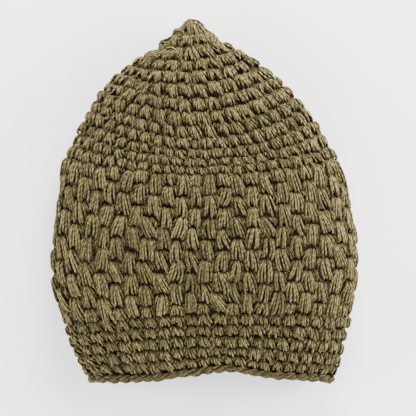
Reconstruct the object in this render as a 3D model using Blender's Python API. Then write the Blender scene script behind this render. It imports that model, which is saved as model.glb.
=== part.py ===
"""A crocheted kufi cap with a pointed crown, lying flat on its back as it is put away.

Metres, +Z up. The mouth faces -Y, the point +Y, and the front of the cap faces up. The origin is on the
floor under the middle of the cap's box. The cap is worked in rounds of stitches, counted here from the
rim to the point: plain rounds at the brim, a band of tall bean stitches, and plain rounds again up the
crown. Each zone is a hollow wall of its own with a rib for each round, and a chain-stitch edging runs
round the rim.
"""

import math
from collections import namedtuple

import bmesh
import bpy
import numpy as np
from mathutils import Vector

# Overall sizes
CAP_WIDTH = 0.229
CAP_LENGTH = 0.2745
LYING_HEIGHT = 0.044

# The crocheted wall and its relief
WALL = 0.0065
RIB_DEPTH = 0.0015
BEAN_DEPTH = 0.0018
RIB_FLANK = 0.28
EDGING_THICKNESS = 0.0052
EDGING_RELIEF = 0.0007
FLOOR_PRESS = 0.0020

# Rounds of stitches in each zone, and stitches in the round at the rim
BRIM_ROUNDS = 5
BAND_ROUNDS = 13
CROWN_ROUNDS = 12
STITCHES = 48

# Clearance between solids that meet
GAP = 0.0003

# Height of the folds as a share of the section's, and the thinnest hollow left at the crown's inner point
FOLD_HEIGHT = 0.44
SMALLEST_HOLLOW = 0.0012

# Facets round a wall
SIDES = 48

# Colour of the yarn
YARN_COLOUR = (0.20, 0.155, 0.072, 1.0)
YARN_ROUGHNESS = 0.85

Section = namedtuple("Section", "zone share left right y_left y_middle y_right lift top fullness")

# Each row is one cross-section of the lying cap. zone and share say where it is: a share of that zone's
# rounds. left and right are the folds' distances from the middle line as shares of CAP_WIDTH. The three
# y columns are where the round lies at the left fold, the middle and the right fold, as shares of
# CAP_LENGTH from the rim's corner. lift and top are the heights of the underside and the upper side as
# shares of LYING_HEIGHT. fullness is the exponent of the cross-section's curve: 2 is an ellipse.
SECTIONS = (
    Section("brim", 0.00, -0.380, 0.425, 0.019, 0.049, 0.025, 0.00, 0.70, 4.2),
    Section("brim", 0.20, -0.406, 0.441, 0.045, 0.074, 0.049, 0.00, 0.75, 4.2),
    Section("brim", 0.60, -0.434, 0.462, 0.101, 0.132, 0.112, 0.00, 0.84, 4.1),
    Section("band", 0.00, -0.455, 0.480, 0.163, 0.192, 0.184, 0.00, 0.92, 4.0),
    Section("band", 0.23, -0.491, 0.500, 0.268, 0.279, 0.284, 0.00, 0.98, 3.9),
    Section("band", 0.46, -0.500, 0.499, 0.372, 0.367, 0.383, 0.00, 1.00, 3.8),
    Section("band", 0.69, -0.483, 0.479, 0.478, 0.454, 0.482, 0.00, 1.00, 3.8),
    Section("band", 0.85, -0.473, 0.465, 0.548, 0.513, 0.548, 0.00, 0.98, 3.8),
    Section("crown", 0.00, -0.455, 0.434, 0.618, 0.571, 0.615, 0.00, 0.95, 3.6),
    Section("crown", 0.17, -0.414, 0.384, 0.689, 0.639, 0.687, 0.00, 0.90, 3.5),
    Section("crown", 0.33, -0.376, 0.330, 0.750, 0.706, 0.758, 0.00, 0.84, 3.3),
    Section("crown", 0.50, -0.335, 0.261, 0.805, 0.773, 0.818, 0.00, 0.77, 3.0),
    Section("crown", 0.67, -0.276, 0.184, 0.851, 0.833, 0.871, 0.00, 0.69, 2.7),
    Section("crown", 0.83, -0.205, 0.106, 0.898, 0.888, 0.916, 0.01, 0.60, 2.3),
    Section("crown", 0.97, -0.126, 0.031, 0.951, 0.945, 0.963, 0.05, 0.50, 2.0),
    Section("crown", 1.00, -0.098, 0.017, 0.976, 0.972, 0.980, 0.10, 0.45, 2.0),
)
TIP_X = -0.038
TIP_Y = 0.9985
TIP_HEIGHT = 0.28

FIRST_ROUND = {"brim": 0, "band": BRIM_ROUNDS, "crown": BRIM_ROUNDS + BAND_ROUNDS}
ROUNDS_IN = {"brim": BRIM_ROUNDS, "band": BAND_ROUNDS, "crown": CROWN_ROUNDS}
TOP_ROUND = BRIM_ROUNDS + BAND_ROUNDS + CROWN_ROUNDS
SECTION_ROUNDS = [FIRST_ROUND[s.zone] + s.share * ROUNDS_IN[s.zone] for s in SECTIONS]


def smooth(at, places, values):
    """A smooth curve through (places, values), read at one place or several."""
    places, values = np.asarray(places, float), np.asarray(values, float)
    slopes = np.gradient(values, places)
    at = np.clip(at, places[0], places[-1])
    left = np.clip(np.searchsorted(places, at, side="right") - 1, 0, len(places) - 2)
    width = places[left + 1] - places[left]
    t = (at - places[left]) / width
    return (
        (2 * t**3 - 3 * t**2 + 1) * values[left]
        + (t**3 - 2 * t**2 + t) * width * slopes[left]
        + (3 * t**2 - 2 * t**3) * values[left + 1]
        + (t**3 - t**2) * width * slopes[left + 1]
    )


def section_at(round_number):
    """The cross-section at a round, in metres: the folds, the middle of the round, and its heights."""
    columns = {
        name: float(smooth(round_number, SECTION_ROUNDS, [getattr(s, name) for s in SECTIONS]))
        for name in Section._fields[2:]
    }
    left = np.array([columns["left"] * CAP_WIDTH, (columns["y_left"] - 0.5) * CAP_LENGTH])
    right = np.array([columns["right"] * CAP_WIDTH, (columns["y_right"] - 0.5) * CAP_LENGTH])
    bow = (columns["y_middle"] - (columns["y_left"] + columns["y_right"]) / 2) * CAP_LENGTH
    lift = max(columns["lift"], 0.0) * LYING_HEIGHT
    return left, right, bow, lift, columns["top"] * LYING_HEIGHT, columns["fullness"]


def wall_slant(round_number):
    """How much longer than the wall is thick a level cut through it is, at the folds and at the top."""
    step = 0.25
    ends = [min(max(round_number + d, 0), TOP_ROUND) for d in (-step, step)]
    (l0, r0, _, _, t0, _), (l1, r1, _, _, t1, _) = (section_at(e) for e in ends)
    along = ((l1 + r1) - (l0 + r0))[1] / 2
    sideways = ((r1 - l1) - (r0 - l0))[0] / 2
    return math.hypot(1, sideways / along), math.hypot(1, (t1 - t0) / 2 / along)


def half_sizes(round_number, inset):
    """Half the width and half the height left inside a round when its wall is cut away to a depth."""
    left, right, _, lift, top, _ = section_at(round_number)
    across, above = wall_slant(round_number)
    return (right - left)[0] / 2 - inset * across, (top - lift) / 2 - inset * above


def section_curve(round_number, angles, inset):
    """Points of a cross-section at some angles, cut in by inset. Angle 0 is the right fold and pi/2 the top."""
    left, right, bow, lift, top, fullness = section_at(round_number)
    half_width, half_height = half_sizes(round_number, inset)
    full_half_height = (top - lift) / 2
    share = half_height / full_half_height
    fold = lift + (top - lift) * (0.5 + (FOLD_HEIGHT - 0.5) * share)
    upper = lift + full_half_height + half_height - fold
    lower = fold - (lift + full_half_height - half_height)
    cosine, sine = np.cos(angles), np.sin(angles)
    across = np.sign(cosine) * np.abs(cosine) ** (2 / fullness)
    middle, half = (left + right) / 2, (right - left) / 2
    scale = half_width / half[0]
    plan = middle + np.outer(across * scale, half)
    plan[:, 1] += bow * (1 - (across * scale) ** 2)
    depth = lower + FLOOR_PRESS * (sine < 0)
    height = fold + np.where(sine > 0, upper, depth) * sine
    floor = lift + full_half_height - half_height
    return np.column_stack([plan, np.maximum(height, floor)])


def outline_angles(round_number, count, inset=0.0):
    """Angles that share count facets between a cross-section's length and its turning at the folds."""
    dense = np.linspace(-math.pi / 2, 1.5 * math.pi, 1441)
    points = section_curve(round_number, dense, inset)
    length = np.concatenate([[0], np.cumsum(np.linalg.norm(np.diff(points, axis=0), axis=1))])
    measure = length / length[-1] + (dense - dense[0]) / (2 * math.pi)
    return np.interp(np.arange(count) / count * measure[-1], measure, dense)


def along_mouth(points, distance):
    """The points moved along the cap, towards the point for a positive distance."""
    return points + np.array([0, distance, 0])


def tip_point():
    """The point of the crown, where its last round is drawn together."""
    return np.array([TIP_X * CAP_WIDTH, (TIP_Y - 0.5) * CAP_LENGTH, TIP_HEIGHT * LYING_HEIGHT])


def edging_line():
    """The line of the edging chain, two points to a stitch, just below the middle of the rim's wall."""
    line = section_curve(0, outline_angles(0, 2 * STITCHES, WALL / 2), WALL / 2)
    slope = np.gradient(line[:, 1]) / (np.abs(np.gradient(line[:, 0])) + 1e-6)
    lean = np.sqrt(1 + np.clip(slope, -0.3, 0.3) ** 2)
    line[:, 1] -= (EDGING_THICKNESS / 2 + GAP) * lean
    return line


def rib_ring(place, depth):
    """An outer ring cut in to a depth, except where the cap is pressed flat on the floor."""
    angles = outline_angles(place, SIDES)
    outer, deep = section_curve(place, angles, 0.0), section_curve(place, angles, depth)
    on_floor = outer[:, 2:] < GAP / 10
    return np.where(on_floor, outer, deep)


def ribbed_rings(first, last, depth):
    """Outer rings of the rounds of a zone. Each round is a raised rib with a groove on either side of it."""
    rings = []
    for number in range(first, last):
        rings.append(rib_ring(number, depth))
        rings.append(rib_ring(number + RIB_FLANK, 0.0))
        rings.append(rib_ring(number + 1 - RIB_FLANK, 0.0))
    rings.append(rib_ring(last, depth))
    return rings


def inner_rings(first, last):
    """Inner rings of a wall, one for about every two rounds."""
    places = np.linspace(first, last, max(2, math.ceil((last - first) / 2) + 1))
    return [section_curve(place, outline_angles(place, SIDES), WALL) for place in places]


def hollow_end():
    """The round at which the crown's hollow closes, because its walls meet."""
    for place in np.arange(TOP_ROUND, FIRST_ROUND["crown"], -0.25):
        if min(half_sizes(place, WALL)) >= SMALLEST_HOLLOW:
            return place
    return FIRST_ROUND["crown"] + 1


def add_rings(mesh, rings):
    """Adds rings of points to a mesh and joins each ring to the next with quads."""
    loops = [[mesh.verts.new(point) for point in ring] for ring in rings]
    for low, high in zip(loops, loops[1:]):
        for i in range(len(low)):
            j = (i + 1) % len(low)
            mesh.faces.new((low[i], low[j], high[j], high[i]))
    return loops[0], loops[-1]


def join_loops(mesh, one, other):
    """Joins two loops of equal length with quads."""
    for i in range(len(one)):
        j = (i + 1) % len(one)
        mesh.faces.new((one[i], one[j], other[j], other[i]))


def close_to_point(mesh, loop, point):
    """Closes a loop with a fan of triangles to one point."""
    tip = mesh.verts.new(point)
    for i in range(len(loop)):
        mesh.faces.new((loop[i], loop[(i + 1) % len(loop)], tip))


def make_object(name, data, collection, material):
    """Makes an object from a mesh or a curve."""
    made = bpy.data.objects.new(name, data)
    made.data.materials.append(material)
    collection.objects.link(made)


def finish_mesh(name, mesh):
    """Turns a bmesh into smooth-shaded mesh data with its faces pointing outwards."""
    bmesh.ops.recalc_face_normals(mesh, faces=mesh.faces)
    data = bpy.data.meshes.new(name)
    mesh.to_mesh(data)
    mesh.free()
    data.shade_smooth()
    return data


def ring_wall(name, outer, inner):
    """A closed wall between outer and inner rings, open at both ends of the cap."""
    mesh = bmesh.new()
    outer_low, outer_high = add_rings(mesh, outer)
    inner_low, inner_high = add_rings(mesh, inner)
    join_loops(mesh, outer_low, inner_low)
    join_loops(mesh, outer_high, inner_high)
    return finish_mesh(name, mesh)


def pointed_wall(name, outer, inner, outer_tip, inner_tip):
    """A closed wall that is open below and drawn to a point above, outside and in."""
    mesh = bmesh.new()
    outer_low, outer_high = add_rings(mesh, outer)
    inner_low, inner_high = add_rings(mesh, inner)
    join_loops(mesh, outer_low, inner_low)
    close_to_point(mesh, outer_high, outer_tip)
    close_to_point(mesh, inner_high, inner_tip)
    return finish_mesh(name, mesh)


def yarn_material():
    """Matt olive-brown yarn."""
    material = bpy.data.materials.new("olive_yarn")
    material.use_nodes = True
    shader = material.node_tree.nodes["Principled BSDF"]
    shader.inputs["Base Color"].default_value = YARN_COLOUR
    shader.inputs["Roughness"].default_value = YARN_ROUGHNESS
    shader.inputs["Metallic"].default_value = 0.0
    return material


def shift_ends(rings, low, high):
    """Rings whose first and last ring are moved along the cap, for the gap to the next zone."""
    return [along_mouth(rings[0], low), *rings[1:-1], along_mouth(rings[-1], high)]


def build_brim(collection, material):
    """The plain rounds next to the rim."""
    outer = shift_ends(ribbed_rings(0, BRIM_ROUNDS, RIB_DEPTH), 0, -GAP / 2)
    inner = shift_ends(inner_rings(0, BRIM_ROUNDS), 0, -GAP / 2)
    make_object("brim", ring_wall("brim", outer, inner), collection, material)


def build_band(collection, material):
    """The band of bean stitches round the middle of the cap."""
    first, last = FIRST_ROUND["band"], FIRST_ROUND["crown"]
    outer = shift_ends(ribbed_rings(first, last, BEAN_DEPTH), GAP / 2, -GAP / 2)
    inner = shift_ends(inner_rings(first, last), GAP / 2, -GAP / 2)
    make_object("bean_band", ring_wall("bean_band", outer, inner), collection, material)


def build_crown(collection, material):
    """The plain rounds that narrow to the point."""
    first, closed = FIRST_ROUND["crown"], hollow_end()
    outer = shift_ends(ribbed_rings(first, TOP_ROUND, RIB_DEPTH), GAP / 2, 0)
    inner = shift_ends(inner_rings(first, closed), GAP / 2, 0)
    inner_tip = along_mouth(inner[-1].mean(axis=0), SMALLEST_HOLLOW)
    data = pointed_wall("crown", outer, inner, tip_point(), inner_tip)
    make_object("crown", data, collection, material)


def build_edging(collection, material):
    """The chain-stitch edging round the rim, thick at each stitch and thin between two."""
    line = edging_line()
    data = bpy.data.curves.new("rim_edging", "CURVE")
    data.dimensions = "3D"
    data.bevel_depth = EDGING_THICKNESS / 2
    data.bevel_resolution = 2
    spline = data.splines.new("POLY")
    spline.points.add(len(line) - 1)
    for i, point in enumerate(line):
        spline.points[i].co = (*point, 1.0)
        spline.points[i].radius = 1 - EDGING_RELIEF / (EDGING_THICKNESS / 2) * (i % 2)
    spline.use_cyclic_u = True
    make_object("rim_edging", data, collection, material)


def stand_on_origin(pieces):
    """Moves the cap so that the middle of the underside of its box is at the origin."""
    bpy.context.view_layer.update()
    corners = np.array([corner for piece in pieces for corner in piece.bound_box])
    low, high = corners.min(axis=0), corners.max(axis=0)
    middle = Vector(((low[0] + high[0]) / 2, (low[1] + high[1]) / 2, low[2]))
    for piece in pieces:
        piece.location -= middle


def main():
    for old in list(bpy.data.objects):
        bpy.data.objects.remove(old)
    collection = bpy.data.collections.new("kufi_cap")
    bpy.context.scene.collection.children.link(collection)
    material = yarn_material()
    build_brim(collection, material)
    build_band(collection, material)
    build_crown(collection, material)
    build_edging(collection, material)
    stand_on_origin(collection.objects)


main()
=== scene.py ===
"""The looks of a crocheted kufi cap lying flat on its back: each stitch is made of plies of yarn.

Metres, +Z up. The cap's surface is worked out from the same table of sections as its solids. A place on
it is a share of the way round (0 and 1 in the middle of the underside, 0.5 in the middle of the front), a
round of stitches counted from the rim, and a height above the tops of the stitches, which is negative.
"""

import math
from collections import namedtuple

import bpy
import numpy as np
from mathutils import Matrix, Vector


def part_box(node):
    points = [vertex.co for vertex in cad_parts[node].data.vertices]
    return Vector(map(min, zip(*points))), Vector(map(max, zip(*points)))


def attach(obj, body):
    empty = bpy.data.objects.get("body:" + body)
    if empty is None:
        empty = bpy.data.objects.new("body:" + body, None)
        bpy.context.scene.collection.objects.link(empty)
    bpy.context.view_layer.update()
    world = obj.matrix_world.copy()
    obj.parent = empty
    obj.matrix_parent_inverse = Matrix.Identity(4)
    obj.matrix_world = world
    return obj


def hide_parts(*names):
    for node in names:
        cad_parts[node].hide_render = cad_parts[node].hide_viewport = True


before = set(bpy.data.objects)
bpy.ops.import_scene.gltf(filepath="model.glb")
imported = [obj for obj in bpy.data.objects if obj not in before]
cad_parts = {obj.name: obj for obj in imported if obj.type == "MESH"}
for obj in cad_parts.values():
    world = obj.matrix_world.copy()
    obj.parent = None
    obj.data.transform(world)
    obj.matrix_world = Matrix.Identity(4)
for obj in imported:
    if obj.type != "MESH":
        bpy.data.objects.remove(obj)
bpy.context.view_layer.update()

# Overall sizes of the lying cap, as the solids have them
CAP_WIDTH = 0.229
CAP_LENGTH = 0.2745
LYING_HEIGHT = 0.044
WALL = 0.0065
EDGING_THICKNESS = 0.0052
FOLD_HEIGHT = 0.44
FLOOR_PRESS = 0.0020

# The size of the photo and of its pixels at the folds, and where the middle of the cap is in it
PIXEL = 0.00075
FRAME_PIXELS = 416
BOX_MIDDLE_PX = (204.5, 201.0)

# Rounds of stitches, from the rim to the point
BRIM_ROUNDS = 5
BAND_ROUNDS = 13
CROWN_ROUNDS = 12
BAND_START = BRIM_ROUNDS
CROWN_START = BRIM_ROUNDS + BAND_ROUNDS
TOP_ROUND = CROWN_START + CROWN_ROUNDS
STITCHES = 44

# The crown's rows of stitches. At the folds each is a round tall. In the middle of the front they lie between
# these rounds, and this is how wide their stitches are.
CROWN_ROWS = (18.0, 18.67, 19.31, 20.04, 20.84, 21.86, 23.0, 24.12, 25.48, 26.67, 27.77, 29.22, 29.78)
CROWN_WIDTHS = (0.0087, 0.0088, 0.0091, 0.0095, 0.0102, 0.0109, 0.0110, 0.0110, 0.0110, 0.0110, 0.0108, 0.0105)
LOW_ROWS = 4
PLAIN_ROWS = 5

# Where a stitch of the brim and a column of beans lie, as shares of the way round, and how far the next
# round's are to the right of it, in stitches
BRIM_PHASE = 0.5101
BRIM_LEAN = 0.1
BAND_PHASE = 0.4716
BAND_PHASE_ROUND = 11.9
BAND_LEAN = 0.07

# The sections of the solids: see part.py. Only the last two are narrower here, as the photo's point is
Section = namedtuple("Section", "zone share left right y_left y_middle y_right lift top fullness")
SECTIONS = (
    Section("brim", 0.00, -0.380, 0.425, 0.019, 0.049, 0.025, 0.00, 0.70, 4.2),
    Section("brim", 0.20, -0.406, 0.441, 0.045, 0.074, 0.049, 0.00, 0.75, 4.2),
    Section("brim", 0.60, -0.434, 0.462, 0.101, 0.132, 0.112, 0.00, 0.84, 4.1),
    Section("band", 0.00, -0.455, 0.480, 0.163, 0.192, 0.184, 0.00, 0.92, 4.0),
    Section("band", 0.23, -0.491, 0.500, 0.268, 0.279, 0.284, 0.00, 0.98, 3.9),
    Section("band", 0.46, -0.500, 0.499, 0.372, 0.367, 0.383, 0.00, 1.00, 3.8),
    Section("band", 0.69, -0.483, 0.479, 0.478, 0.454, 0.482, 0.00, 1.00, 3.8),
    Section("band", 0.85, -0.473, 0.465, 0.548, 0.513, 0.548, 0.00, 0.98, 3.8),
    Section("crown", 0.00, -0.455, 0.434, 0.618, 0.571, 0.615, 0.00, 0.95, 3.6),
    Section("crown", 0.17, -0.414, 0.384, 0.689, 0.639, 0.687, 0.00, 0.90, 3.5),
    Section("crown", 0.33, -0.376, 0.330, 0.750, 0.706, 0.758, 0.00, 0.84, 3.3),
    Section("crown", 0.50, -0.335, 0.261, 0.805, 0.773, 0.818, 0.00, 0.77, 3.0),
    Section("crown", 0.67, -0.276, 0.184, 0.851, 0.833, 0.871, 0.00, 0.69, 2.7),
    Section("crown", 0.83, -0.205, 0.106, 0.898, 0.888, 0.916, 0.01, 0.60, 2.3),
    Section("crown", 0.97, -0.117, 0.026, 0.948, 0.945, 0.960, 0.05, 0.50, 2.0),
    Section("crown", 1.00, -0.090, 0.008, 0.973, 0.971, 0.977, 0.10, 0.45, 2.0),
)
TIP_X, TIP_Y, TIP_HEIGHT = -0.038, 0.9985, 0.28
POINT_TAPER = 0.55

# Arches that stand out at the outline near the point, in the photo's pixels: the middle of their feet, half
# their width, their height and how far they turn to the left
EARS = (
    (179.0, 37.0, 6.2, 8.8, 0.30), (166.0, 49.0, 6.4, 9.8, 0.40), (153.0, 60.0, 6.6, 9.0, 0.50),
    (172.0, 57.5, 6.6, 9.5, 0.25), (208.0, 42.0, 6.2, 9.0, -0.40),
)
EAR_SIZES = (0.16, 0.44, 0.72, 1.0)

# The notches between those arches in the outline: their middles and size in the photo's pixels, how far they
# go into the cap in metres, and in which direction
NOTCHES = ((168.0, 35.0), (154.5, 47.0))
NOTCH_SIZE, NOTCH_DEPTH = 3.2, 0.0034
NOTCH_INWARD = (0.62, -0.78)

# The plain stitches over the very point, and the lines of the yarns on them in the photo's pixels
POINT_ROUND, POINT_STITCHES, POINT_TALL, POINT_DEEPER = 30.3, 6, 1.1, 0.0009
POINT_YARNS = (
    ((185.9, 20.2), (191.0, 20.5), (196.8, 22.0), (202.0, 25.8), (206.8, 30.2)),
    ((187.4, 20.6), (185.2, 23.6), (183.2, 27.0), (181.6, 30.6), (181.4, 35.0)),
    ((190.5, 21.6), (189.6, 25.0), (189.6, 29.0), (190.2, 33.0), (190.4, 38.5)),
    ((192.5, 22.0), (195.0, 25.8), (196.8, 30.0), (197.8, 34.5), (197.6, 40.0)),
    ((196.0, 23.5), (200.4, 27.5), (203.6, 31.6), (205.4, 36.0), (206.0, 41.0)),
    ((205.0, 28.6), (210.2, 34.0), (215.0, 39.0), (219.6, 42.8), (224.5, 46.3)),
)
POINT_DIVE = 0.0026
EAR_RAISED = 0.0005

# A loose strand that lies on the lowest beans, and the small loop that it ends in, in the photo's pixels
STRAY_STRAND = ((103.0, 300.5), (106.0, 303.5), (109.5, 308.0), (113.0, 313.5), (116.0, 319.5), (117.0, 322.5))
STRAY_LOOP_MIDDLE = (107.4, 319.4)
STRAY_LOOP_SIZE = 2.6
ZONE_START = {"brim": 0, "band": BAND_START, "crown": CROWN_START}
ZONE_ROUNDS = {"brim": BRIM_ROUNDS, "band": BAND_ROUNDS, "crown": CROWN_ROUNDS}
SECTION_ROUNDS = [ZONE_START[s.zone] + s.share * ZONE_ROUNDS[s.zone] for s in SECTIONS]

# How far the rim hangs below its smooth line, in metres, from left to right, and the round where that ends
RIM_DROP_X = (-0.078, -0.060, -0.048, -0.037, -0.030, -0.018, -0.003, 0.019, 0.030, 0.042, 0.057, 0.087, 0.100)
RIM_DROP = (0.0, 0.0019, 0.0030, 0.0037, 0.0030, 0.0019, 0.0002, -0.0019, -0.0004, 0.0015, 0.0019, 0.0011, 0.0015)
RIM_DROP_END = 2.5

# The grid that the surface is read from
GRID_SIDES = 720
GRID_STEP = 1 / 6
GRID_LOW = -1.0
GRID_HIGH = TOP_ROUND + 1.0

# Yarn: plies that lie nearly side by side and cross slowly, each of two finer threads twisted together
PLY_RADIUS = 0.00092
PLY_TURNS = 0.33
CROSS_SIDE = 0.28
CROSS_UP = 0.35
RAGGED = 0.10
THREAD_PITCH = 0.0078
PLY_SIDES = 6

# Depths below the tops of the stitches between which the yarn's painted shade turns it from lit to dark
SHADE_TOP = -0.0002
SHADE_DEEP = 0.0043

# The backs of the stitches: a shell whose outer face carries a painted shade, so that it shows dark between the
# stitches
BACKING_DEPTH = 0.0033
BACKING_SIDES = 132
BACKING_TWISTS = 102
FOLD_CLOSER = 0.0010
BACKING_SHADE = 0.11

# How much more the stitches' ends dive at the folds, which shows in the outline
FOLD_DEEPER = 0.75

RANDOM = np.random.default_rng(11)


def smooth(at, places, values):
    """A smooth curve through (places, values), read at several places."""
    places, values = np.asarray(places, float), np.asarray(values, float)
    slopes = np.gradient(values, places)
    at = np.clip(at, places[0], places[-1])
    left = np.clip(np.searchsorted(places, at, side="right") - 1, 0, len(places) - 2)
    width = places[left + 1] - places[left]
    t = (at - places[left]) / width
    return (
        (2 * t**3 - 3 * t**2 + 1) * values[left]
        + (t**3 - 2 * t**2 + t) * width * slopes[left]
        + (3 * t**2 - 2 * t**3) * values[left + 1]
        + (t**3 - t**2) * width * slopes[left + 1]
    )


def section_rings(rounds):
    """The outer outline of the cap at each of some rounds, with GRID_SIDES even steps from underneath."""
    column = {
        name: smooth(rounds, SECTION_ROUNDS, [getattr(s, name) for s in SECTIONS])[:, None]
        for name in Section._fields[2:]
    }
    angles = np.linspace(-math.pi / 2, 1.5 * math.pi, 2 * GRID_SIDES + 1)[None, :]
    lift = np.maximum(column["lift"], 0) * LYING_HEIGHT
    top = column["top"] * LYING_HEIGHT
    fold = lift + (top - lift) * FOLD_HEIGHT
    cosine, sine = np.cos(angles), np.sin(angles)
    across = np.sign(cosine) * np.abs(cosine) ** (2 / column["fullness"])
    middle = (column["left"] + column["right"]) / 2
    half = (column["right"] - column["left"]) / 2
    x = (middle + half * across) * CAP_WIDTH
    y_middle = (column["y_left"] + column["y_right"]) / 2
    y_tilt = (column["y_right"] - column["y_left"]) / 2
    y = (y_middle + y_tilt * across + (column["y_middle"] - y_middle) * (1 - across**2) - 0.5) * CAP_LENGTH
    y -= smooth(x, RIM_DROP_X, RIM_DROP) * np.clip(1 - rounds / RIM_DROP_END, 0, 1)[:, None]
    depth = np.where(sine > 0, top - fold, fold - lift + FLOOR_PRESS)
    z = np.maximum(fold + depth * sine, lift)
    dense = np.stack([x, y, z], axis=-1)
    rings = np.empty((len(rounds), GRID_SIDES, 3))
    lengths = np.empty(len(rounds))
    for i, ring in enumerate(dense):
        along = np.concatenate([[0], np.cumsum(np.linalg.norm(np.diff(ring, axis=0), axis=1))])
        even = np.arange(GRID_SIDES) / GRID_SIDES * along[-1]
        lengths[i] = along[-1]
        for axis in range(3):
            rings[i, :, axis] = np.interp(even, along, ring[:, axis])
    return rings, lengths


class Surface:
    """The surface over the tops of the stitches, which gives places and outward directions."""

    def __init__(self):
        rounds = np.arange(GRID_LOW, GRID_HIGH + GRID_STEP / 2, GRID_STEP)
        rings, self.lengths = section_rings(rounds)
        self.rounds = rounds
        first = np.searchsorted(rounds, -1e-9)
        slope = (rings[first + 1] - rings[first]) / GRID_STEP
        for i in range(first):
            rings[i] = rings[first] + slope * rounds[i]
        last = np.searchsorted(rounds, TOP_ROUND - 1e-9)
        centre = rings[last].mean(axis=0)
        tip = np.array([TIP_X * CAP_WIDTH, (TIP_Y - 0.5) * CAP_LENGTH, TIP_HEIGHT * LYING_HEIGHT])
        for i in range(last + 1, len(rounds)):
            rise = min(rounds[i] - TOP_ROUND, 0.98)
            width = (1 - POINT_TAPER * rise) * math.sqrt(1 - rise**6)
            rings[i] = centre + (rings[last] - centre) * width + (tip - centre) * rise
            self.lengths[i] = self.lengths[last] * width
        self.points = self.notched(rings + self.shift(rings))
        along = np.gradient(self.points, axis=0)
        around = (np.roll(self.points, -1, axis=1) - np.roll(self.points, 1, axis=1)) / 2
        outward = np.cross(along, around)
        self.outward = outward / (np.linalg.norm(outward, axis=-1, keepdims=True) + 1e-12)

    def shift(self, rings):
        """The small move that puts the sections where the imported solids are."""
        low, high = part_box("bean_band")
        band = rings[(self.rounds >= BAND_START) & (self.rounds <= CROWN_START)]
        middle = (band[..., 0].min() + band[..., 0].max()) / 2
        return np.array([(low[0] + high[0]) / 2 - middle, 0, 0])

    def notched(self, points):
        """The points with the outline's notches pushed in."""
        x = BOX_MIDDLE_PX[0] + points[..., 0] / PIXEL
        y = BOX_MIDDLE_PX[1] - points[..., 1] / PIXEL
        push = sum(np.exp(-((x - at[0]) ** 2 + (y - at[1]) ** 2) / (2 * NOTCH_SIZE**2)) for at in NOTCHES)
        points[..., :2] += NOTCH_DEPTH * push[..., None] * np.array(NOTCH_INWARD)
        return points

    def length(self, rounds):
        """The way round the cap at a round."""
        return np.interp(rounds, self.rounds, self.lengths)

    def at(self, share, rounds):
        """Places and outward directions."""
        column = np.mod(share, 1) * GRID_SIDES
        row = np.clip((rounds - GRID_LOW) / GRID_STEP, 0, len(self.rounds) - 1.001)
        i, j = np.floor(row).astype(int), np.floor(column).astype(int) % GRID_SIDES
        s, t = (row - i)[..., None], (column - np.floor(column))[..., None]
        k = (j + 1) % GRID_SIDES

        def read(grid):
            low = grid[i, j] * (1 - t) + grid[i, k] * t
            high = grid[i + 1, j] * (1 - t) + grid[i + 1, k] * t
            return low * (1 - s) + high * s

        outward = read(self.outward)
        return read(self.points), outward / (np.linalg.norm(outward, axis=-1, keepdims=True) + 1e-12)


SURFACE = Surface()


def on_front(pixels):
    """Places on the front of the cap under some of the photo's pixels, and the outward directions there."""
    x, y = (pixels[..., 0] - BOX_MIDDLE_PX[0]) * PIXEL, (BOX_MIDDLE_PX[1] - pixels[..., 1]) * PIXEL
    front = SURFACE.outward[..., 2] > 0.05
    grid, ways = SURFACE.points[front], SURFACE.outward[front]
    away = (grid[:, 0] - x[..., None]) ** 2 + (grid[:, 1] - y[..., None]) ** 2
    near = np.argmin(away, axis=-1)
    return np.stack([x, y, grid[near][..., 2]], axis=-1), ways[near]


def mesh_object(name, points, faces_by_size, uv, values, material, node):
    """Makes a smooth mesh piece that stands for a solid. faces_by_size holds arrays of corner indices."""
    loops = np.concatenate([f.ravel() for f in faces_by_size])
    sizes = np.concatenate([np.full(len(f), f.shape[1]) for f in faces_by_size])
    mesh = bpy.data.meshes.new(name)
    mesh.vertices.add(len(points))
    mesh.vertices.foreach_set("co", points.ravel().astype(np.float32))
    mesh.loops.add(len(loops))
    mesh.loops.foreach_set("vertex_index", loops.astype(np.int32))
    mesh.polygons.add(len(sizes))
    starts = np.concatenate([[0], np.cumsum(sizes)[:-1]])
    mesh.polygons.foreach_set("loop_start", starts.astype(np.int32))
    mesh.polygons.foreach_set("loop_total", sizes.astype(np.int32))
    mesh.update(calc_edges=True)
    mesh.uv_layers.new(name="yarn").data.foreach_set("uv", uv.ravel().astype(np.float32))
    for key, value in values.items():
        mesh.attributes.new(key, "FLOAT", "POINT").data.foreach_set("value", value.astype(np.float32))
    mesh.shade_smooth()
    mesh.validate()
    mesh.materials.append(material)
    piece = bpy.data.objects.new(name, mesh)
    bpy.context.scene.collection.objects.link(piece)
    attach(piece, "root")
    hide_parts(node)
    return piece


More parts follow.
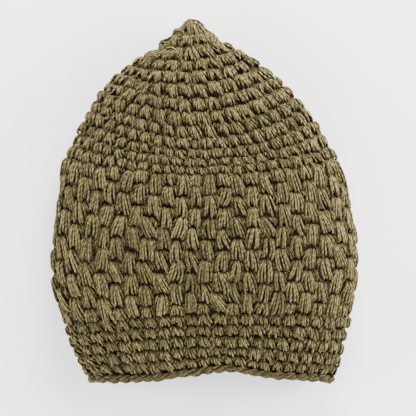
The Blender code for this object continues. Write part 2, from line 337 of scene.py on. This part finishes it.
class Yarns:
    """A heap of plies that becomes one mesh."""

    def __init__(self):
        self.points, self.quads, self.caps, self.quad_uv, self.cap_uv = [], [], [], [], []
        self.tints, self.shades = [], []
        self.count = 0

    def rope(self, centres, outward, depth, radius, pack, plies):
        """Adds yarns of some plies side by side along N centre lines of M points."""
        n, m, _ = centres.shape
        phase = RANDOM.uniform(0, 2 * math.pi, (n, 1))
        side, up = frames(centres, outward)
        for ply in range(plies):
            order = ply - (plies - 1) / 2
            angle = phase + 2.4 * ply + 2 * math.pi * PLY_TURNS * np.linspace(0, 1, m)
            sideways = radius * (2 * pack * order + CROSS_SIDE * np.cos(angle))
            upwards = radius * (CROSS_UP * np.sin(angle) - 0.25 * order**2)
            moved = centres + sideways[..., None] * side + upwards[..., None] * up
            self.tube(moved, outward, depth - upwards, radius, RANDOM.normal(0, 0.5, n))

    def tube(self, centres, outward, depth, radius, tint):
        """Adds closed tubes along centre lines; their depths below the tops of the stitches set their painted shade."""
        n, m, _ = centres.shape
        centres = centres.copy()
        step = np.linalg.norm(np.diff(centres, axis=1), axis=2)
        along = np.concatenate([np.zeros((n, 1)), np.cumsum(step, axis=1)], axis=1)
        radius = radius * RANDOM.uniform(0.88, 1.08, (n, 1)) * np.ones((n, m))
        centres[..., 2] = np.maximum(centres[..., 2], radius)
        side, up = frames(centres, outward)
        taper = np.ones(m)
        taper[0] = taper[-1] = 0.5
        theta = np.arange(PLY_SIDES) / PLY_SIDES * 2 * math.pi
        ring = np.cos(theta)[:, None] * up[:, :, None, :] - np.sin(theta)[:, None] * side[:, :, None, :]
        size = (radius * taper)[:, :, None]
        points = centres[:, :, None, :] + ring * size[..., None]
        facing = (ring * outward[:, :, None, :]).sum(axis=-1)
        # Painted shade: each point is darker the deeper it lies and the more it faces sideways or inward
        self.shades.append(shade_at(depth[:, :, None] - size * facing, facing).ravel())
        index = self.count + np.arange(n * m * PLY_SIDES).reshape(n, m, PLY_SIDES)
        after = np.roll(index, -1, axis=2)
        quads = np.stack([index[:, :-1], after[:, :-1], after[:, 1:], index[:, 1:]], axis=-1)
        u = along[:, :, None] / THREAD_PITCH + RANDOM.uniform(0, 1, (n, 1, 1)) + np.zeros((1, 1, PLY_SIDES))
        v0 = np.broadcast_to(np.arange(PLY_SIDES) / PLY_SIDES, (n, m - 1, PLY_SIDES))
        v1 = v0 + 1 / PLY_SIDES
        corner_u = np.stack([u[:, :-1], u[:, :-1], u[:, 1:], u[:, 1:]], axis=-1)
        corner_v = np.stack([v0, v1, v1, v0], axis=-1)
        self.quad_uv.append(np.stack([corner_u, corner_v], axis=-1).reshape(-1, 2))
        self.quads.append(quads.reshape(-1, 4))
        caps = np.concatenate([index[:, 0, ::-1], index[:, -1, :]])
        self.caps.append(caps)
        self.cap_uv.append(np.zeros((caps.size, 2)))
        self.points.append(points.reshape(-1, 3))
        self.tints.append(np.repeat(tint, m * PLY_SIDES))
        self.count += n * m * PLY_SIDES

    def make(self, name, material, node):
        uv = np.concatenate(self.quad_uv + self.cap_uv)
        faces = [np.concatenate(self.quads), np.concatenate(self.caps)]
        values = {"tint": np.concatenate(self.tints), "shade": np.concatenate(self.shades)}
        mesh_object(name, np.concatenate(self.points), faces, uv, values, material, node)


def shade_at(depth, facing):
    """Painted shade, from 0 to 1: how much light reaches a place in the cloth for its depth below the stitches' tops,
    less on the sides of a ply; it darkens the yarn's colour.
    """
    open_sky = np.clip((SHADE_DEEP - depth) / (SHADE_DEEP - SHADE_TOP), 0, 1)
    return open_sky * (0.42 + 0.58 * np.clip(facing, 0, 1) ** 1.4)


def frames(centres, outward):
    """A side and an up direction, square to centre lines."""
    tangent = np.gradient(centres, axis=1)
    tangent /= np.linalg.norm(tangent, axis=-1, keepdims=True) + 1e-12
    side = np.cross(tangent, outward)
    side /= np.linalg.norm(side, axis=-1, keepdims=True) + 1e-12
    return side, np.cross(side, tangent)


# A leg of a stitch is a fan of plies that comes up from under the round above it, lies on the cap and dives
# again. x is in stitch widths to the right and y in rounds towards the point, both from the stitch's middle.
# crest, the two dives and the arch from the stitch's middle to its sides are depths in metres, and rise and
# fall are the shares of the leg that the dives take. The packs are the distances between plies at the top,
# the middle and the low end, in ply widths. curl is how much sooner the outer plies end, in rounds.
Leg = namedtuple(
    "Leg",
    "x_top x_mid x_low y_top y_low crest arch dive_top dive_low rise fall plies pack_top pack_mid pack_low curl thick",
)

PLAIN_STITCH = (
    Leg(-0.16, -0.27, -0.23, 0.60, -0.46, 0.0002, 0.0021, 0.0034, 0.0024, 0.43, 0.20, 3, 0.40, 0.84, 0.84, 0.12, 1.02),
    Leg(-0.06, 0.15, 0.27, 0.62, -0.53, 0.0000, 0.0019, 0.0034, 0.0024, 0.43, 0.18, 3, 0.44, 0.90, 0.88, 0.10, 1.08),
    Leg(0.66, 0.56, 0.43, 0.72, 0.00, 0.0013, 0.0, 0.0020, 0.0024, 0.42, 0.46, 3, 0.65, 0.88, 0.70, 0.05, 0.94),
)
BEAN_STITCH = (
    Leg(-0.13, -0.34, -0.33, 1.05, -0.99, 0.0001, 0.0018, 0.0030, 0.0024, 0.27, 0.11, 3, 0.44, 0.89, 0.88, 0.12, 1.16),
    Leg(0.06, 0.21, 0.27, 1.05, -1.08, 0.0000, 0.0018, 0.0030, 0.0024, 0.27, 0.11, 3, 0.44, 0.89, 0.90, 0.12, 1.16),
    Leg(0.38, 0.62, 0.52, 1.08, -0.06, 0.0011, 0.0, 0.0024, 0.0022, 0.40, 0.34, 3, 0.76, 0.98, 0.76, 0.16, 0.98),
    Leg(-0.36, -0.52, -0.46, 1.00, 0.10, 0.0029, 0.0, 0.0010, 0.0010, 0.40, 0.30, 2, 0.90, 1.10, 0.90, 0.00, 0.90),
)
SHELL_STITCH = (
    Leg(-0.12, -0.31, -0.28, 0.60, -0.43, -0.0002, 0.0022, 0.0036, 0.0026, 0.42, 0.18, 3, 0.40, 0.86, 0.82, 0.14, 1.08),
    Leg(0.00, 0.18, 0.27, 0.62, -0.51, -0.0004, 0.0020, 0.0036, 0.0026, 0.42, 0.18, 4, 0.36, 0.78, 0.78, 0.07, 1.08),
    Leg(0.66, 0.60, 0.48, 0.72, -0.04, 0.0011, 0.0, 0.0020, 0.0024, 0.40, 0.42, 3, 0.72, 0.92, 0.76, 0.04, 1.00),
)


def through(first, middle, last, s):
    """A curve through three values at s = 0, 0.5 and 1."""
    return first + (last - first) * s + 4 * (middle - (first + last) / 2) * s * (1 - s)


def lay_stitches(yarns, legs, share, rounds, width, tall, wild, samples):
    """Lays a stitch of some legs at each of some places. share and rounds are the stitches' middles."""
    n = len(share)
    s = np.linspace(0, 1, samples)[None, :]
    metres = SURFACE.length(rounds)[:, None] * width
    scale_x = RANDOM.normal(1, 0.07 * wild, (n, 1))
    scale_y = RANDOM.normal(1, 0.04 * wild, (n, 1)) * tall
    lean = RANDOM.normal(0, 0.12 * wild, (n, 1))
    sway = RANDOM.normal(0, 0.08 * wild, (n, 1))
    move_x = RANDOM.normal(0, 0.05 * wild, (n, 1))
    move_y = RANDOM.normal(0, 0.06 * wild, (n, 1))
    sink = RANDOM.normal(0, 0.0003, (n, 1))
    tint = RANDOM.normal(0, 0.4, n)
    for leg in legs:
        x_top = leg.x_top + RANDOM.normal(0, 0.03, (n, 1))
        x_mid = leg.x_mid + RANDOM.normal(0, 0.03, (n, 1)) + sway
        x_low = leg.x_low + RANDOM.normal(0, 0.04, (n, 1))
        x_leg = through(x_top, x_mid, x_low, s)
        y_top = leg.y_top + RANDOM.normal(0, 0.03, (n, 1))
        y_low = leg.y_low + RANDOM.normal(0, 0.05, (n, 1))
        dive_top = leg.dive_top * np.clip(1 - s / leg.rise, 0, 1) ** 1.5
        dive_low = leg.dive_low * np.clip(1 - (1 - s) / leg.fall, 0, 1) ** 1.7
        leg_depth = leg.crest + dive_top + dive_low + sink
        radius = PLY_RADIUS * leg.thick
        pack = through(leg.pack_top, leg.pack_mid, leg.pack_low, s) * RANDOM.normal(1, 0.05, (n, 1))
        phase = RANDOM.uniform(0, 2 * math.pi, (n, 1))
        for ply in range(leg.plies):
            order = ply - (leg.plies - 1) / 2
            angle = phase + 2.4 * ply + 2 * math.pi * PLY_TURNS * s
            x = x_leg + radius * (2 * pack * order + CROSS_SIDE * np.cos(angle)) / metres
            low = y_low + leg.curl * order**2 + RANDOM.normal(0, RAGGED, (n, 1))
            y = (y_top + (low - y_top) * s) * scale_y + move_y
            depth = leg_depth - radius * CROSS_UP * np.sin(angle) + leg.arch * np.minimum(np.abs(x) / 0.47, 1.2) ** 4
            x = (x + lean * y + move_x) * scale_x
            centres, outward = SURFACE.at(share[:, None] - x * width, rounds[:, None] + y)
            deeper = 1 + FOLD_DEEPER * (1 - np.abs(outward[..., 2]))
            centres = centres - outward * (depth * deeper)[..., None]
            yarns.tube(centres, outward, depth, radius, tint + RANDOM.normal(0, 0.5, n))


def underneath(share):
    """Which places lie on the cap's underside."""
    return np.abs(np.mod(share, 1) - 0.5) > 0.3


def lay_round(yarns, legs, share, middle, width, samples, wild, tall=1.0):
    """Lays a round of stitches, which are plainer on the underside."""
    middle, tall = middle + 0 * share, tall + 0 * share
    for chosen, count in ((~underneath(share), samples), (underneath(share), round(samples * 0.5))):
        if chosen.any():
            heights = tall[chosen][:, None]
            lay_stitches(yarns, legs, share[chosen], middle[chosen], width, heights, wild, count)


def build_brim(material):
    yarns = Yarns()
    for number in range(BRIM_ROUNDS):
        share = BRIM_PHASE - (np.arange(STITCHES) + BRIM_LEAN * (number - 1)) / STITCHES
        lay_round(yarns, PLAIN_STITCH, share, number + 0.5, 1 / STITCHES, 10, 0.4, 0.94)
    yarns.make("brim_stitches", material, "brim")


def bean_columns(number, odd):
    """The places of every other column of beans at a round."""
    column = 2 * np.arange(STITCHES // 2) + odd
    return BAND_PHASE - (column + BAND_LEAN * (number - BAND_PHASE_ROUND)) / STITCHES


def build_band(material):
    """Bean stitches two rounds tall, on every other column in turn, with short ones at both ends."""
    thirds = np.linspace(BAND_START, CROWN_START - 1, 4).round().astype(int)
    for name, first, last in zip(("beans_low", "beans_middle", "beans_high"), thirds, thirds[1:]):
        yarns = Yarns()
        for number in range(first, last):
            odd = (number - BAND_START) % 2
            middle = number + 1.0
            lay_round(yarns, BEAN_STITCH, bean_columns(middle, odd), middle, 1 / STITCHES, 12, 1.0)
        if first == BAND_START:
            lay_round(yarns, BEAN_STITCH, bean_columns(first, 1), first + 0.5, 1 / STITCHES, 8, 0.7, 0.55)
            lay_on_front(yarns, (STRAY_STRAND,), 0.0012, 0.0012, 2)
            turn = np.linspace(-0.3, 2 * math.pi + 0.3, 8)
            loop = [STRAY_LOOP_MIDDLE + STRAY_LOOP_SIZE * np.array([math.cos(a), math.sin(a)]) for a in turn]
            lay_on_front(yarns, (loop,), 0, 0.0012, 1)
        if last == CROWN_START - 1:
            lay_round(yarns, BEAN_STITCH, bean_columns(last, 0), last + 0.5, 1 / STITCHES, 8, 0.7, 0.6)
        yarns.make("band_" + name, material, "bean_band")


def build_crown(material):
    """Rows with fewer stitches towards the point, and larger ones near it."""
    ends = CROWN_ROWS + (TOP_ROUND + 1,)
    last = len(CROWN_WIDTHS)
    for name, rows in (("low", range(LOW_ROWS)), ("high", range(LOW_ROWS, last))):
        yarns = Yarns()
        for row in rows:
            count = round(SURFACE.length((ends[row] + ends[row + 1]) / 2) / CROWN_WIDTHS[row])
            share = (np.arange(count) + RANDOM.uniform(0, 1)) / count
            front = np.clip(np.cos(2 * math.pi * (share - 0.5)), 0, 1)
            low = (CROWN_START + row) * (1 - front) + ends[row] * front
            high = (CROWN_START + row + 1) * (1 - front) + ends[row + 1] * front
            legs = PLAIN_STITCH if row < PLAIN_ROWS else SHELL_STITCH
            lay_round(yarns, legs, share, (low + high) / 2, 1 / count, 10, 0.6, high - low)
        if rows.stop == last:
            build_tip(yarns)
        yarns.make("crown_stitches_" + name, material, "crown")


def lay_on_front(yarns, lines, dive_first, dive_last, plies, raised=0.0002):
    """Lays yarns along lines on the front of the cap, which are given in the photo's pixels."""
    s = np.linspace(0, 1, 10)
    along = np.linspace(0, 1, len(lines[0]))
    pixels = np.array([[np.interp(s, along, column) for column in zip(*line)] for line in lines])
    places, outward = on_front(np.moveaxis(pixels, 1, -1))
    dive = dive_first * np.clip(1 - 2 * s, 0, 1) ** 3 + dive_last * np.clip(2 * s - 1, 0, 1) ** 3
    depth = np.broadcast_to(dive - raised, places.shape[:2])
    yarns.rope(places - outward * depth[..., None], outward, depth, PLY_RADIUS, 0.78, plies)


def build_tip(yarns):
    """The drawn-together point: a few stitches, the yarns over the very point, and arches beside it."""
    share = 0.5 + np.arange(POINT_STITCHES) / POINT_STITCHES
    legs = [leg._replace(crest=leg.crest + POINT_DEEPER) for leg in SHELL_STITCH]
    lay_round(yarns, legs, share, POINT_ROUND, 1 / POINT_STITCHES, 12, 0.8, POINT_TALL)
    lay_on_front(yarns, POINT_YARNS, 0, POINT_DIVE, 3)
    angle = np.linspace(math.pi + 0.3, -0.3, 10)
    for x, y, wide, tall, turn in EARS:
        across, up = wide * np.cos(angle), tall * np.sin(angle)
        sizes = np.array(EAR_SIZES)[:, None]
        line_x = x + sizes * (across * math.cos(turn) - up * math.sin(turn))
        line_y = y - sizes * (across * math.sin(turn) + up * math.cos(turn))
        lay_on_front(yarns, np.stack([line_x, line_y], axis=-1), POINT_DIVE, POINT_DIVE, 1, EAR_RAISED)


def build_edging(material):
    """The chain along the rim: each chain stitch is two slanting yarns, one on the front and one below."""
    yarns = Yarns()
    s = np.linspace(0, 1, 8)[None, :]
    share = ((np.arange(STITCHES) + 0.4) / STITCHES)[:, None]
    middle = WALL / 2
    for side, turn_from, turn_to in ((0, 0.9, -0.5), (1, -0.6, -1.6), (2, 2.2, 3.4)):
        x = -0.52 + 1.12 * s
        turn = turn_from + (turn_to - turn_from) * (1 - s)
        centres, outward = SURFACE.at(share - x / STITCHES, np.zeros_like(x))
        swell = (0.0017 + 0.0014 * np.sin(s * math.pi)) * RANDOM.normal(1, 0.12, (STITCHES, 1))
        turn = turn + RANDOM.normal(0, 0.15, (STITCHES, 1))
        radial = np.cos(turn)[..., None] * outward + np.sin(turn)[..., None] * np.array([0, 1, 0])
        ring = centres - outward * middle - np.array([0, EDGING_THICKNESS / 2, 0])
        depth = np.full((STITCHES, 8), 0.0016)
        yarns.rope(ring + radial * swell[..., None], radial, depth, PLY_RADIUS * 1.05, 0.85, 3)
    yarns.make("edging_chain", material, "rim_edging")


def build_edging_core(material):
    """The middle of the chain, which closes the gaps between its yarns and the first round; it lies deep, so its
    painted shade makes it dark.
    """
    yarns = Yarns()
    share = np.linspace(0, 1.002, 4 * STITCHES)[None, :]
    centres, outward = SURFACE.at(share, np.zeros_like(share))
    ring = centres - outward * WALL / 2 - np.array([0, EDGING_THICKNESS / 2, 0])
    yarns.tube(ring, outward, np.full(share.shape, 0.0034), 0.0017, np.zeros(1))
    yarns.make("edging_core", material, "rim_edging")


def shell_rings(rounds, depth, relief, lowest):
    """Rings of points at a depth below the stitches' tops, with a low relief of rounds and stitches."""
    share = np.arange(BACKING_SIDES)[None, :] / BACKING_SIDES * np.ones((len(rounds), 1))
    places, outward = SURFACE.at(share, rounds[:, None] * np.ones((1, BACKING_SIDES)))
    relief = relief * np.abs(np.sin(math.pi * rounds))[:, None]
    relief = relief * (1 + 0.4 * np.cos(2 * math.pi * share * STITCHES))
    closer = FOLD_CLOSER * (1 - np.abs(outward[..., 2]))
    places = places - outward * (depth - relief - closer)[..., None]
    places[..., 2] = np.maximum(places[..., 2], lowest)
    return places


def build_backing(name, node, first, outer_last, inner_last, material):
    """The inner side of a zone's wall: a closed shell with the backs of the stitches on its inner face. Both faces
    carry a painted shade, dark on the outer one between the stitches.
    """
    outer_rounds = np.linspace(first, outer_last, round((outer_last - first) * 4) + 1)
    inner_rounds = np.linspace(first, inner_last, round((inner_last - first) * 4) + 1)
    outer = shell_rings(outer_rounds, BACKING_DEPTH, 0.0003, 0.0012)
    inner = shell_rings(inner_rounds, WALL, -0.0011, 0.0045)
    ends = np.stack([outer[-1].mean(axis=0), inner[-1].mean(axis=0)])
    points = np.concatenate([outer.reshape(-1, 3), inner.reshape(-1, 3), ends])
    out = np.arange(len(outer) * BACKING_SIDES).reshape(len(outer), -1)
    within = np.arange(len(inner) * BACKING_SIDES).reshape(len(inner), -1) + out.size

    def quads(a, b):
        return np.stack([a, b, np.roll(b, -1, axis=-1), np.roll(a, -1, axis=-1)], axis=-1).reshape(-1, 4)

    faces = [quads(out[:-1], out[1:]), quads(within[1:], within[:-1]), quads(within[0], out[0])]
    fans = []
    if node == "crown":
        tip = np.full(BACKING_SIDES, out.size + within.size)
        fans = [
            np.stack([out[-1], tip, np.roll(out[-1], -1)], axis=-1),
            np.stack([tip + 1, within[-1], np.roll(within[-1], -1)], axis=-1),
        ]
    else:
        points = points[:-2]
        faces.append(quads(out[-1], within[-1]))
    faces = [np.concatenate(faces)] + fans
    column = faces[0][:, :1] % BACKING_SIDES + np.array([[0, 0, 1, 1]])
    row = faces[0] // BACKING_SIDES
    quad_uv = np.stack([column * BACKING_TWISTS / BACKING_SIDES, row * 0.5], axis=-1).reshape(-1, 2)
    uv = np.concatenate([quad_uv, np.zeros((sum(f.size for f in fans), 2))])
    # Painted shade: the outer face is nearly black where it shows between the stitches, the inner face a milder shade
    # inside the cap
    shade = np.full(len(points), BACKING_SHADE)
    shade[out.size:] = 0.7
    mesh_object(name, points, faces, uv, {"tint": np.zeros(len(points)), "shade": shade}, material, node)


def yarn_material(name, light, middle, dark, rough):
    """Matt yarn: two threads twisted in each ply, with mottled colour and a soft sheen. Its colour also carries painted
    shade from the shade attribute and painted highlights on the threads' crests.
    """
    material = bpy.data.materials.new(name)
    material.use_nodes = True
    nodes, links = material.node_tree.nodes, material.node_tree.links
    shader = nodes["Principled BSDF"]
    shader.inputs["Roughness"].default_value = rough
    shader.inputs["Specular IOR Level"].default_value = 0.07
    shader.inputs["Sheen Weight"].default_value = 0.03
    shader.inputs["Sheen Roughness"].default_value = 0.5
    shader.inputs["Sheen Tint"].default_value = light

    def join(kind, *values):
        node = nodes.new("ShaderNodeMath")
        node.operation = kind
        for socket, value in zip(node.inputs, values):
            if isinstance(value, (int, float)):
                socket.default_value = value
            else:
                links.new(value, socket)
        return node.outputs[0]

    def noise(scale, detail, vector):
        node = nodes.new("ShaderNodeTexNoise")
        node.inputs["Scale"].default_value = scale
        node.inputs["Detail"].default_value = detail
        links.new(vector, node.inputs["Vector"])
        return join("SUBTRACT", node.outputs["Fac"], 0.5)

    def attribute(key):
        node = nodes.new("ShaderNodeAttribute")
        node.attribute_name = key
        return node.outputs["Fac"]

    place = nodes.new("ShaderNodeTexCoord").outputs["Object"]
    uv = nodes.new("ShaderNodeUVMap")
    uv.uv_map = "yarn"
    split = nodes.new("ShaderNodeSeparateXYZ")
    links.new(uv.outputs["UV"], split.inputs[0])
    turns = join("ADD", join("MULTIPLY", split.outputs["Y"], 2.0), join("MULTIPLY", split.outputs["X"], 2.0))
    thread = join("MULTIPLY", join("SINE", join("MULTIPLY", turns, 2 * math.pi)), 0.5)
    # Painted highlight: bright specks on the crests of the threads
    painted_highlight = join("POWER", join("MAXIMUM", thread, 0.0), 3.0)
    grain = noise(900.0, 2.0, place)
    patches = noise(45.0, 2.0, place)
    shade, tint = attribute("shade"), attribute("tint")
    along = nodes.new("ShaderNodeCombineXYZ")
    links.new(join("MULTIPLY", split.outputs["X"], 2.6), along.inputs[0])
    links.new(join("MULTIPLY_ADD", split.outputs["X"], 2.0, join("MULTIPLY", split.outputs["Y"], 8.0)), along.inputs[1])
    links.new(join("MULTIPLY", tint, 20.0), along.inputs[2])
    fibres = noise(1.0, 2.0, along.outputs[0])

    painted_highlight = join("MULTIPLY", painted_highlight, join("MULTIPLY_ADD", noise(350.0, 1.0, place), 6.0, 1.5))
    # The threads' twist in the tone is painted highlight on their crests and painted shade in their grooves
    tone = join("ADD", join("MULTIPLY", thread, 0.10), painted_highlight)
    tone = join("ADD", tone, join("MULTIPLY", tint, 0.10))
    tone = join("ADD", tone, join("MULTIPLY", fibres, 1.6))
    tone = join("ADD", tone, join("MULTIPLY", grain, 0.4))
    tone = join("ADD", tone, join("MULTIPLY", patches, 0.35))
    # Painted shade: the tone follows the shade attribute, so deep and sideways-facing yarn is darker
    tone = join("MULTIPLY", tone, join("MULTIPLY_ADD", shade, 0.8, 0.2))
    tone = join("ADD", tone, shade)
    # The ramp turns the tone into colour: dark is the painted shade of deep gaps, light the lit tops
    ramp = nodes.new("ShaderNodeValToRGB")
    ramp.color_ramp.elements[0].position = 0.0
    ramp.color_ramp.elements[0].color = [0.9 * c for c in dark[:3]] + [1]
    ramp.color_ramp.elements[1].position = 1.0
    ramp.color_ramp.elements[1].color = light
    ramp.color_ramp.elements.new(0.62).color = middle
    ramp.color_ramp.elements.new(0.08).color = dark
    links.new(join("DIVIDE", tone, 1.3), ramp.inputs[0])
    links.new(ramp.outputs["Color"], shader.inputs["Base Color"])

    bump = nodes.new("ShaderNodeBump")
    bump.inputs["Strength"].default_value = 1.0
    bump.inputs["Distance"].default_value = 0.0004
    links.new(join("ADD", thread, join("MULTIPLY", grain, 0.6)), bump.inputs["Height"])
    links.new(bump.outputs["Normal"], shader.inputs["Normal"])
    return material


def build_floor():
    bpy.ops.mesh.primitive_plane_add(size=6, location=(0, 0, 0))
    floor = bpy.context.object
    floor.name = "floor"
    material = bpy.data.materials.new("pale_floor")
    material.use_nodes = True
    shader = material.node_tree.nodes["Principled BSDF"]
    shader.inputs["Base Color"].default_value = (0.97, 0.97, 0.97, 1)
    shader.inputs["Roughness"].default_value = 0.9
    floor.data.materials.append(material)


def area_light(name, place, target, size, power):
    data = bpy.data.lights.new(name, "AREA")
    data.shape = "DISK"
    data.size = size
    data.energy = power
    lamp = bpy.data.objects.new(name, data)
    lamp.location = place
    direction = np.array(target) - np.array(place)
    flat = math.hypot(direction[0], direction[1])
    lamp.rotation_euler = (math.atan2(flat, -direction[2]), 0, math.atan2(direction[1], direction[0]) - math.pi / 2)
    bpy.context.scene.collection.objects.link(lamp)


def build_lights():
    area_light("light_far", (0.20, 1.15, 0.40), (0, 0, 0), 0.8, 80)
    area_light("light_left", (-1.2, -0.15, 0.22), (0, 0, 0), 0.8, 54)
    area_light("light_right", (1.2, 0.2, 0.22), (0, 0, 0), 0.8, 82)
    area_light("light_near", (0.1, -1.15, 0.22), (0, 0, 0), 0.8, 48)
    world = bpy.data.worlds.new("studio")
    world.use_nodes = True
    world.node_tree.nodes["Background"].inputs["Color"].default_value = (1, 1, 1, 1)
    world.node_tree.nodes["Background"].inputs["Strength"].default_value = 0.82
    bpy.context.scene.world = world


def build_camera():
    data = bpy.data.cameras.new("photo_camera")
    data.lens = 180
    data.sensor_width = 36
    camera = bpy.data.objects.new("photo_camera", data)
    fold_level = FOLD_HEIGHT * LYING_HEIGHT
    distance = FRAME_PIXELS * PIXEL * data.lens / data.sensor_width
    x = (FRAME_PIXELS / 2 - BOX_MIDDLE_PX[0]) * PIXEL
    y = (BOX_MIDDLE_PX[1] - FRAME_PIXELS / 2) * PIXEL
    camera.location = (x, y, fold_level + distance)
    bpy.context.scene.collection.objects.link(camera)
    bpy.context.scene.camera = camera


def main():
    # The yarn's colours for its lit tops, its middle tone and its painted shade in the deep gaps
    yarn = yarn_material(
        "olive_yarn", (0.186, 0.152, 0.064, 1), (0.0425, 0.0338, 0.0124, 1), (0.0500, 0.0395, 0.0215, 1), 0.85
    )
    build_edging(yarn)
    build_brim(yarn)
    build_band(yarn)
    build_crown(yarn)
    build_edging_core(yarn)
    build_backing("brim_inside", "brim", -0.3, BAND_START, BAND_START, yarn)
    build_backing("band_inside", "bean_band", BAND_START, CROWN_START, CROWN_START, yarn)
    build_backing("crown_inside", "crown", CROWN_START, TOP_ROUND + 0.35, TOP_ROUND - 2, yarn)
    build_floor()
    build_lights()
    build_camera()


main()
